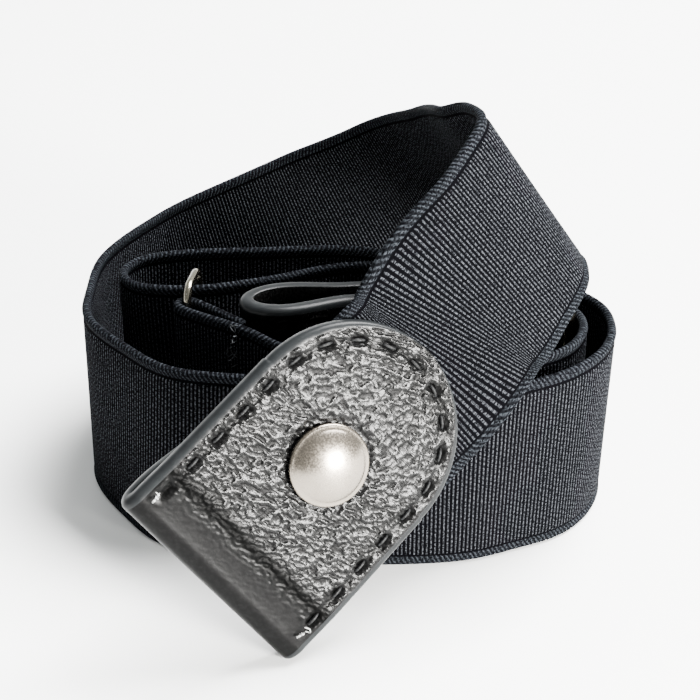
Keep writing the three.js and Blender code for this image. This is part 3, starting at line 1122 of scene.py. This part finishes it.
        # Painted shade in the stitch dimples, which are also dulled.
        pressed[rows] = close * (0.45 + 0.55 * dimple)
        cap_gap = np.hypot(s - self.sizes.snap_from_fold, v) - self.sizes.cap_radius
        dish = -0.25 * np.exp(-((np.maximum(cap_gap, 0) / 1.1) ** 2))
        height = height + np.where(front[:, None], dish, 0.0)
        grained = smooth_step((run - 5.0) / 4.0) * 0.93 + 0.07
        # Painted shade: the leather nearest the fold and a band further on are painted darker, and dulled.
        dull = 0.62 * (1 - smooth_step((run - 5.0) / 3.0)) + np.exp(-(((run - 8.6) / 1.7) ** 2))
        pressed = np.maximum(pressed, np.minimum(dull, 1) * front[:, None])
        grain = self.grain(run * np.where(front, 1, -1)[:, None], v) * grained
        height = height + grain
        # Painted shade in the grain's hollows, which are also dulled.
        hollow = smooth_step(-2.2 * grain / self.grain_height)
        pressed = np.maximum(pressed, 0.8 * hollow)
        edge_gap = half_width[:, None] - self.paint_border - np.abs(v)
        return height * smooth_step(edge_gap / 0.5), pressed

    def stitches(self, thread: bpy.types.Material) -> bpy.types.Object:
        """Build the sewing: each stitch a short round thread that dips into its holes.

        Args:
            thread: the thread's finish.

        Returns:
            The piece.
        """
        path, length = self.stitch_line()
        run = np.arange(len(path)) * self.path_step
        count = int(length // self.stitch_pitch)
        share = np.linspace(0, 1, 13)
        points, faces = [], []
        for number in range(count):
            where = (number + 0.5) * self.stitch_pitch + (share - 0.5) * self.stitch_length
            s = np.interp(where, run, path[:, 0])
            v = np.interp(where, run, path[:, 1])
            rise = -0.75 + 0.52 * np.sin(np.pi * share) ** 0.45
            placed = self.place(s, rise)
            middle = placed.points + v[:, None] * placed.across
            thick = 0.30 * (0.5 + 0.5 * np.sin(np.pi * share) ** 0.5)
            ring, quads = tube(middle, thick, 8)
            faces.append(quads + len(ring) * number)
            points.append(ring)
        return mesh_object(
            f"{self.shape.name}_stitches", np.concatenate(points), np.concatenate(faces), [thread]
        )

    def cap(self, nickel: bpy.types.Material) -> bpy.types.Object:
        """Build the domed snap cap: a turned profile with a rolled rim, seated on the leather.

        Returns:
            The piece.
        """
        radius = self.sizes.cap_radius
        base = self.sizes.clearance * 0.2
        profile = [(0.0, base), (radius - 0.7, base - 0.12)]
        angle = np.linspace(-90, 75, 12)
        rim = [
            (radius - 0.55 + 0.55 * math.cos(math.radians(a)), 0.5 + 0.55 * math.sin(math.radians(a)))
            for a in angle
        ]
        dome_angle = np.linspace(62, 0, 16)
        bowl = (radius - 0.75) / math.sin(math.radians(62))
        top = 3.0
        dome = [
            (bowl * math.sin(math.radians(a)), top - 0.52 * bowl * (1 - math.cos(math.radians(a))))
            for a in dome_angle
        ]
        profile = np.array(profile + rim + dome)
        turn = np.linspace(0, 2 * np.pi, 72, endpoint=False)
        centre = self.place(np.array([self.sizes.snap_from_fold]), np.zeros(1))
        r, h = profile[:, 0][:, None, None], profile[:, 1][:, None, None]
        circle = np.cos(turn)[:, None] * centre.along + np.sin(turn)[:, None] * centre.across
        points = centre.points[None] + r * circle[None] + h * centre.out[None]
        sides = len(turn)
        faces = hoop_faces(len(profile), sides, False)
        piece = mesh_object(
            f"{self.shape.name}_cap", points.reshape(-1, 3), faces, [nickel]
        )
        return merged(piece)


def merged(piece: bpy.types.Object) -> bpy.types.Object:
    """Merge doubled points at a turned piece's poles and point its faces outwards.

    Args:
        piece: the turned piece.

    Returns:
        The same piece.
    """
    mesh = bmesh.new()
    mesh.from_mesh(piece.data)
    bmesh.ops.remove_doubles(mesh, verts=mesh.verts, dist=1e-7)
    bmesh.ops.recalc_face_normals(mesh, faces=mesh.faces)
    mesh.to_mesh(piece.data)
    mesh.free()
    return piece


@dataclass
class RingTab(FoldedTab):
    """The second tab, whose strip goes on round the ring's bar and ends in a short tail."""

    loop_from_fold: float = 49.6
    neck_width: float = 34.0
    tail_length: float = 12.0
    neck_shoulder: float = 8.0
    neck_ease: float = 4.0
    neck_rings: int = 20

    @property
    def round_back(self) -> bool:
        """The back panel goes on round the ring, so it has no end of its own."""
        return False

    def loop_reach(self) -> float:
        """Distance from the ring's bar to the middle of the leather round it."""
        return self.sizes.ring_wire / 2 + self.sizes.clearance + self.sizes.leather / 2

    def loop_centre(self) -> tuple[float, float]:
        """Place of the ring's bar, in s and d."""
        back_d = -(self.sizes.leather * 1.5 + self.shape.panel_gap)
        return self.loop_from_fold, back_d + self.loop_reach()

    def tail(self, back_d: float) -> list[np.ndarray]:
        """The turn round the ring's bar and the tail between the panels."""
        s, d = self.loop_centre()
        angle = np.radians(np.linspace(-90, 90, 24))
        turn = np.stack(
            [s + self.loop_reach() * np.cos(angle), d + self.loop_reach() * np.sin(angle)], 1
        )
        share = np.linspace(0, 1, 30)[1:]
        tail_d = back_d + self.sizes.leather + self.sizes.clearance
        loop_d = d + self.loop_reach()
        fall = loop_d + (tail_d - loop_d) * smooth_step(share * 5 / 3)
        return [turn, np.stack([s - share * self.tail_length, fall], 1)]

    def half_widths(self, line: np.ndarray, front: np.ndarray) -> np.ndarray:
        """Half widths as on any tab, narrowed to the neck near the ring."""
        wide = super().half_widths(line, front)
        near_ring = np.arange(len(line)) > np.argmin(line[:, 0])
        past = line[:, 0] - (self.loop_from_fold - self.neck_shoulder)
        neck_from = int(np.argmax(near_ring & (past > 0)))
        after = np.arange(len(line)) >= neck_from
        ease = smooth_step(past / self.neck_ease)
        ease = np.where(np.arange(len(line)) > neck_from + self.neck_rings, 1.0, ease)
        return np.where(after, wide + (self.neck_width / 2 - wide) * ease, wide)


@dataclass
class Webbing:
    """The elastic band: one strip of ribbed webbing along the coil's route."""

    sizes: BeltSizes
    front: FoldedTab
    shift: np.ndarray
    rib_pitch: float = 0.714
    rib_height: float = 0.16
    steps_per_rib: int = 3
    soften_mm: float = 1.6
    hem_ease: float = 4.0
    samples_per_row: int = 40
    bead: float = 0.82

    def rows(self) -> list[Row]:
        """The whole route, from inside the front tab to the hem's tail."""
        sizes = self.sizes
        slider_rise = (sizes.slider_wire + sizes.slider_clear_height / 2) / sizes.webbing_width
        inside = -(sizes.leather + sizes.clearance + sizes.webbing_thickness / 2)
        start = np.linspace(INSIDE_TAB_FROM, sizes.tab_length, 3)
        placed = self.front.place(start, np.full(3, inside))
        in_tab = placed.points - BELOW_TAB_MIDDLE * placed.across - self.shift
        rows = [self.row_at(p, self.front.shape.lean) for p in in_tab]
        leg = sizes.slider_bar() + sizes.slider_way() * sizes.leg_through_slider * sizes.slider_spacing
        hem = [Row(across, deep, slider_rise) for across, deep in HEM_ROWS]
        rows += [*OUTER_ROWS, self.row_at(leg, rise=slider_rise)]
        rows += [*INNER_ROWS, RING_TURN, *NEAR_ROWS, *hem]
        reach = sizes.slider_wire / 2 + sizes.clearance + sizes.webbing_thickness / 2
        for angle in np.radians(HEM_TURN_ANGLES):
            turn = sizes.slider_bar() + reach * np.array([math.cos(angle), math.sin(angle), 0.0])
            rows.append(self.row_at(turn, rise=slider_rise))
        seam, before = sizes.row_point(hem[1]), sizes.row_point(hem[0])
        side = np.cross(unit((seam - before)), UP)
        tail = seam + side * (sizes.webbing_thickness + sizes.clearance)
        return rows + [self.row_at(tail, rise=slider_rise)]

    def row_at(self, point: np.ndarray, lean: float = 0.0, rise: float | None = None) -> Row:
        """A row through a point of the coil.

        Args:
            point: the point.
            lean: lean of the section, in degrees.
            rise: rise to use in place of the point's own.

        Returns:
            The row.
        """
        sizes = self.sizes
        height = point[2] / sizes.webbing_width if rise is None else rise
        return Row(point[0] / sizes.coil_width, point[1] / sizes.coil_depth, height, lean)

    def route(self) -> tuple[Placing, np.ndarray]:
        """Frames along the band at equal steps, softened where no wire is near.

        Returns:
            The placing and the distance along of each frame.
        """
        rows = self.rows()
        points = np.array([self.sizes.row_point(row) for row in rows]) + self.shift
        lean = np.array([[row.lean] for row in rows])
        where = np.linspace(0, len(rows) - 1, self.samples_per_row * len(rows))
        curve = through_rows(points, where, 0.5)
        tilt = through_rows(lean, where, None)[:, 0]
        length = run_along(curve)
        step = self.rib_pitch / self.steps_per_rib
        along = np.arange(0, length[-1], step)
        curve = np.stack([np.interp(along, length, curve[:, k]) for k in range(3)], 1)
        tilt = np.interp(along, length, tilt)
        loop_start = np.interp(len(rows) - 1 - len(HEM_TURN_ANGLES) - 2, where, length)
        held = smooth_step((along - loop_start) / self.hem_ease)
        curve = curve * held[:, None] + self.softened(curve, step) * (1 - held[:, None])
        tilt = tilt * held + self.softened(tilt[:, None], step, 2.0)[:, 0] * (1 - held)
        return lean_frames(curve, unit(np.gradient(curve, axis=0)), tilt), along

    def softened(self, values: np.ndarray, step: float, times: float = 1.0) -> np.ndarray:
        """Average values over a bell of a few millimetres, with the ends carried on straight.

        Args:
            values: rows of values at equal steps.
            step: distance between rows.
            times: the bell's width, as a multiple of the usual one.

        Returns:
            The softened rows.
        """
        width = self.soften_mm * times
        reach = int(3 * width / step)
        bell = np.exp(-0.5 * (np.arange(-reach, reach + 1) * step / width) ** 2)
        bell /= bell.sum()
        before = 2 * values[:1] - values[reach:0:-1]
        after = 2 * values[-1:] - values[-2 : -reach - 2 : -1]
        padded_values = np.concatenate([before, values, after])
        return np.stack(
            [np.convolve(padded_values[:, k], bell, "valid") for k in range(values.shape[1])], 1
        )

    def section(self) -> tuple[np.ndarray, np.ndarray, np.ndarray]:
        """Half of the section: places across, heights out, and how far ribs show there.

        A round bead runs along each edge, with a narrow groove inside it.

        Returns:
            Places across, heights and rib shares, from the lower edge to the upper.
        """
        half = self.sizes.webbing_width / 2
        bead = self.bead
        angle = np.radians([20.0, 55.0, 90.0, 128.0])
        bead_v = half - bead + bead * np.cos(angle)
        bead_d = bead * np.sin(angle)
        v = np.concatenate([bead_v, [15.72, 15.4], [14.9, 7.5]])
        d = np.concatenate([bead_d, [0.42, 0.5], [0.66, 0.66]])
        ribs = np.array([0.0, 0.0, 0.0, 0.0, 0.0, 0.5, 1.0, 1.0])
        v = np.concatenate([v, [0.0], -v[::-1]])
        d = np.concatenate([d, [0.66], d[::-1]])
        ribs = np.concatenate([ribs, [1.0], ribs[::-1]])
        return v[::-1], d[::-1], ribs[::-1]

    def build(self, material: bpy.types.Material) -> bpy.types.Object:
        """Build the webbing with its ribs as relief.

        Args:
            material: the webbing's finish.

        Returns:
            The piece.
        """
        placed, along = self.route()
        v, d, ribs = self.section()
        number = np.arange(len(along)) % self.steps_per_rib
        ridge = np.where(number == 0, -0.65, 0.35) * self.rib_height
        face = d[None] + ridge[:, None] * ribs[None]
        edge_v = np.array([self.sizes.webbing_width / 2])
        zero = np.zeros((len(along), 1))
        ring_v = np.concatenate([v, edge_v, v[::-1], -edge_v])
        ring_d = np.concatenate([face, zero, -face[:, ::-1], zero], axis=1)
        points = placed.points[:, None] + ring_v[None, :, None] * placed.across[:, None]
        points = (points + ring_d[..., None] * placed.out[:, None]).reshape(-1, 3)
        sides = len(ring_v)
        faces = hoop_faces(len(along), sides, False)[:, ::-1]
        order = np.roll(np.arange(sides), 1)
        half = sides // 2
        low = np.arange(half - 1)
        strip = np.stack(
            [order[low], order[low + 1], order[sides - 2 - low], order[sides - 1 - low]], -1
        )
        faces = np.concatenate([faces, strip, strip[:, ::-1] + (len(along) - 1) * sides])
        weave = np.stack(
            [np.broadcast_to(along[:, None], ring_d.shape), np.broadcast_to(ring_v, ring_d.shape)],
            axis=-1,
        ).reshape(-1, 2)
        return mesh_object(
            "webbing_ribbed", points, faces, [material], uv=("weave", weave[faces.ravel()])
        )


@dataclass
class LooseThreads:
    """Loose thread: fluff where the tab's sewing starts, and the hem's worn seam."""

    sizes: BeltSizes
    front: FoldedTab
    shift: np.ndarray
    seed: int = 11
    hem_stitches: int = 15
    hem_ends: int = 7
    bends: int = 14

    def curl(self, start: np.ndarray, way: np.ndarray, length: float, wild: float) -> np.ndarray:
        """Path of one loose thread: it sets out one way and its heading wanders at random.

        Args:
            start: where it leaves the sewing.
            way: first direction.
            length: its length.
            wild: how far each step of it may turn, as a share of its length.

        Returns:
            Points of the path.
        """
        random = np.random.default_rng(self.seed + int(abs(start).sum() * 7))
        turns = np.cumsum(random.normal(0, wild, (self.bends, 3)), axis=0)
        steps = unit(np.asarray(way, float) + turns) * length / self.bends
        coarse = np.concatenate([start[None], start + np.cumsum(steps, axis=0)])
        where = np.linspace(0, len(coarse) - 1, 40)
        return through_rows(coarse, np.minimum(where, len(coarse) - 1 - 1e-6), 0.5)

    def hem_paths(self) -> list[np.ndarray]:
        """Paths of the hem's slanting stitches and of the ends that have worked loose."""
        sizes = self.sizes
        before, seam = (sizes.row_point(Row(*place, 0.0))[:2] for place in HEM_ROWS)
        along = np.append(unit(before - seam), 0.0)
        face = np.array([along[1], -along[0], 0.0])
        if face[1] > 0:
            face = -face
        middle = sizes.slider_wire + sizes.slider_clear_height / 2
        foot = np.append(seam, middle - sizes.webbing_width / 2) + self.shift
        foot = foot + face * (sizes.webbing_thickness / 2 + 0.1)
        rises = np.linspace(1.5, sizes.webbing_width - 1.0, self.hem_stitches)
        lean = np.where(np.arange(self.hem_stitches) % 2, 0.7, -0.7)
        share = np.linspace(-1, 1, 7)[:, None]
        paths = [
            foot + UP * z + (along * tip + UP * 0.5) * share + face * 0.15 * (1 - share**2)
            for z, tip in zip(rises, lean)
        ]
        top = foot + UP * (sizes.webbing_width - 0.4)
        for number in range(self.hem_ends):
            start = top - UP * 0.9 * number + along * (0.5 * (number % 3) - 0.4)
            way = face * (0.6 + 0.2 * (number % 2)) + UP * (0.9 - 0.25 * number) + along * 0.4
            paths.append(self.curl(start, way, 1.8 + 0.5 * (number % 4), 0.3))
        return paths

    def tab_paths(self) -> list[np.ndarray]:
        """Paths of the short ends at both starts of the front tab's sewing."""
        paths = []
        for side in (-1, 1):
            for number in range(4):
                placed = self.front.place(np.array([4.6 + 0.3 * number]), np.array([-0.35]))
                start = placed.points[0] + placed.across[0] * side * (17.0 + 0.15 * number)
                way = placed.out[0] * 0.9 - placed.along[0] * 0.5 + placed.across[0] * side * 0.3
                paths.append(self.curl(start, way, 1.3 + 0.35 * number, 0.6))
        return paths

    @staticmethod
    def build(
        name: str, paths: list[np.ndarray], thick: float, thread: bpy.types.Material
    ) -> bpy.types.Object:
        """Carry a small circle along every path.

        Args:
            name: name of the piece.
            paths: points of each thread.
            thick: radius of the thread.
            thread: the thread's finish.

        Returns:
            The piece.
        """
        points, faces, count = [], [], 0
        for path in paths:
            ring, quads = tube(path, thick, 6)
            points.append(ring)
            faces.append(quads + count)
            count += len(ring)
        return mesh_object(name, np.concatenate(points), np.concatenate(faces), [thread])


@dataclass
class WireFrame:
    """A rectangle of bent wire that stands on the floor."""

    name: str
    first_bar: np.ndarray
    heading: float
    spacing: float
    clear_height: float
    wire: float
    corner: float
    sides: int = 20

    def build(self, material: bpy.types.Material) -> bpy.types.Object:
        """Carry a circle round the rectangle, with round corners of the wire's bend.

        Args:
            material: the wire's finish.

        Returns:
            The piece.
        """
        low, high = self.wire / 2, self.clear_height + self.wire * 1.5
        r = self.corner
        centres = [(self.spacing - r, high - r), (r, high - r), (r, low + r), (self.spacing - r, low + r)]
        path = []
        for quarter, (x, z) in enumerate(centres):
            angle = (quarter + np.linspace(0, 1, 10)) * np.pi / 2
            path.append(np.stack([x + r * np.cos(angle), z + r * np.sin(angle)], 1))
        flat = np.concatenate(path)
        heading = math.radians(self.heading)
        way = np.array([math.cos(heading), math.sin(heading), 0.0])
        middle = self.first_bar + flat[:, :1] * way + flat[:, 1:] * UP
        points, faces = tube(middle, self.wire / 2, self.sides, closed=True)
        return merged(mesh_object(self.name, points, faces, [material]))


@dataclass
class Studio:
    """Pale floor, soft light and the camera at the photograph's angle."""

    shift: np.ndarray
    camera_height: float = 189.5
    camera_back: float = 300.0
    pitch_deg: float = 28.0
    focal_px: float = 1914.0
    frame_px: float = 700.0
    sensor: float = 36.0
    dim_way: tuple[float, float, float] = (-0.62, -0.7, 0.35)
    lights: tuple = field(
        default=(
            ("key", (560, 420, 1150), 850, 165.0, "#ffffff"),
            ("front", (480, -515, 140), 220, 48.0, "#fffdf9"),
        )
    )

    def build(self) -> None:
        """Make the floor, the sky, the lights and the camera."""
        self.floor()
        self.sky()
        for name, at, size, watts, colour in self.lights:
            self.area_light(name, at, size, watts, colour)
        self.camera()

    def floor(self) -> None:
        """Lay a wide pale floor that turns up softly far behind."""
        x = np.linspace(-2500, 2500, 5)
        y = np.linspace(-1500, 2600, 60)
        rise = 900 * smooth_step((y - 900) / 1500) ** 1.5
        grid_x, grid_y = np.meshgrid(x, y)
        points = np.stack([grid_x, grid_y, np.broadcast_to(rise[:, None], grid_x.shape)], -1)
        row = np.arange(len(y) - 1)[:, None] * len(x)
        corner = row + np.arange(len(x) - 1)[None]
        faces = np.stack([corner, corner + 1, corner + 1 + len(x), corner + len(x)], -1)
        material, tree, shader = new_material("pale_floor")
        shader.inputs["Base Color"].default_value = linear("#f4f5f4")
        shader.inputs["Roughness"].default_value = 0.55
        floor = mesh_object("studio_floor", points.reshape(-1, 3), faces.reshape(-1, 4), [material])

    def sky(self) -> None:
        """Fill the room with pale light, dimmer behind the camera and to its left."""
        world = bpy.data.worlds.new("studio_sky")
        world.use_nodes = True
        tree = world.node_tree
        way = add_node(tree, "TexCoord", out="Generated")
        facing = add_node(
            tree, "VectorMath", way, self.dim_way, out="Value", operation="DOT_PRODUCT"
        )
        dim = add_node(tree, "MapRange", facing, 0.1, 0.75, 1.2, 0.7)
        background = tree.nodes["Background"]
        background.inputs["Color"].default_value = linear("#f1f4f4")
        tree.links.new(dim, background.inputs["Strength"])
        bpy.context.scene.world = world

    def area_light(
        self, name: str, at: tuple[float, float, float], size: float, watts: float, colour: str
    ) -> None:
        """Add a soft square light that faces the belt.

        Args:
            name: name of the light.
            at: its place.
            size: its side.
            watts: its power.
            colour: its colour.
        """
        data = bpy.data.lights.new(name, "AREA")
        data.size = size * MM
        data.energy = watts
        data.color = linear(colour)[:3]
        light = bpy.data.objects.new(name, data)
        place = np.array(at, float)
        light.location = place * MM
        back = unit(place - np.array([0.0, 0.0, 25.0]))
        right = unit(np.cross(UP, back))
        light.rotation_euler = self.turned(right, np.cross(back, right), back)
        bpy.context.scene.collection.objects.link(light)

    @staticmethod
    def turned(right: np.ndarray, up: np.ndarray, back: np.ndarray):
        """Euler angles of an object whose axes are these three."""
        return Matrix(np.stack([right, up, back], 1).tolist()).to_euler()

    def camera(self) -> None:
        """Set the camera at the photograph's height and pitch."""
        data = bpy.data.cameras.new("photo_camera")
        data.sensor_width = self.sensor
        data.lens = self.focal_px / self.frame_px * self.sensor
        data.clip_end = 20.0
        camera = bpy.data.objects.new("photo_camera", data)
        place = self.shift + [0.0, -self.camera_back, self.camera_height]
        camera.location = (place * MM).tolist()
        camera.rotation_euler = (math.radians(90 - self.pitch_deg), 0.0, 0.0)
        bpy.context.scene.collection.objects.link(camera)
        bpy.context.scene.camera = camera


def keep(piece: bpy.types.Object, slot: str, *replaced: str) -> None:
    """Make a piece part of the belt: attach it to its body and hide the solids that it stands for.

    Args:
        piece: the piece.
        slot: not used.
        replaced: solids that it stands for.
    """
    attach(piece, BODY)
    if replaced:
        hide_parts(*replaced)
    log.info("%s: %d faces", piece.name, len(piece.data.polygons))


def dress_hidden_posts(frame: dict, steel: bpy.types.Material) -> None:
    """Give the snap posts that stay as solids their plated finish.

    Args:
        frame: the loaded frame.
        steel: the finish.
    """
    for name in ("front_snap_post", "second_snap_post"):
        mesh = frame["nodes"][name].data
        mesh.materials.clear()
        mesh.materials.append(steel)
        log.info("%s: dressed", name)


def main() -> None:
    """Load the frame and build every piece."""
    logging.basicConfig(level=logging.INFO, format="%(name)s %(message)s")
    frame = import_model()
    sizes = BeltSizes()
    shift = sizes.centre_shift()
    Studio(shift).build()
    leather = LeatherFinish().material()
    paint = EdgePaintFinish().material()
    nickel = MetalFinish("satin_nickel_plate", "#958c80", "#7d756a", 0.26).material()
    steel = MetalFinish("bright_nickel_wire", "#8f8a7c", "#6b675d", 0.2).material()
    thread = ThreadFinish().material()

    front = FoldedTab(sizes, FRONT_TAB, sizes.row_point(FRONT_FOLD_AT) + shift)
    ring_heading = math.radians(sizes.ring_heading)
    ring_way = np.array([math.cos(ring_heading), math.sin(ring_heading), 0.0])
    outer_bar = sizes.row_point(RING_TURN) * [1, 1, 0]
    outer_bar[0] -= sizes.webbing_thickness / 2 + sizes.clearance + sizes.ring_wire / 2
    inner_bar = outer_bar - ring_way * sizes.ring_spacing + shift
    second = RingTab(
        sizes, SECOND_TAB, np.zeros(3), face_columns=90, front_step=0.45, grain_height=0.06
    )
    s, d = second.loop_centre()
    second.origin = inner_bar - second.place(np.array([s]), np.array([d])).points[0]
    second.origin[2] = sizes.tab_width / 2 + shift[2]

    webbing = Webbing(sizes, front, shift)
    keep(webbing.build(WebbingFinish().material()), "webbing", "elastic_band")
    for tab, node in ((front, "front_tab"), (second, "second_tab")):
        tab.leather, tab.edge_paint = leather, paint
        keep(tab.build(), "leather", node)
        keep(tab.stitches(thread), "leather")
    pale = ThreadFinish("pale_polyester_fluff", "#5c5d5c", "#b4b5b2").material()
    grey = ThreadFinish("grey_polyester_thread", "#17191a", "#3c3f41").material()
    loose = LooseThreads(sizes, front, shift)
    keep(loose.build("hem_threads", loose.hem_paths(), 0.1, grey), "webbing")
    keep(loose.build("front_tab_thread_ends", loose.tab_paths(), 0.1, pale), "webbing")
    keep(front.cap(nickel), "nickel", "front_snap_cap")
    keep(second.cap(nickel), "nickel", "second_snap_cap")
    slider = WireFrame(
        "slider_wire", sizes.slider_bar() + shift, sizes.slider_heading, sizes.slider_spacing,
        sizes.slider_clear_height, sizes.slider_wire, 3.0,
    )
    keep(slider.build(steel), "steel", "slider")
    ring = WireFrame(
        "ring_wire", inner_bar, sizes.ring_heading, sizes.ring_spacing,
        sizes.ring_clear_height, sizes.ring_wire, 2.5,
    )
    keep(ring.build(steel), "steel", "ring")
    dress_hidden_posts(frame, steel)


if __name__ == "__main__":
    main()
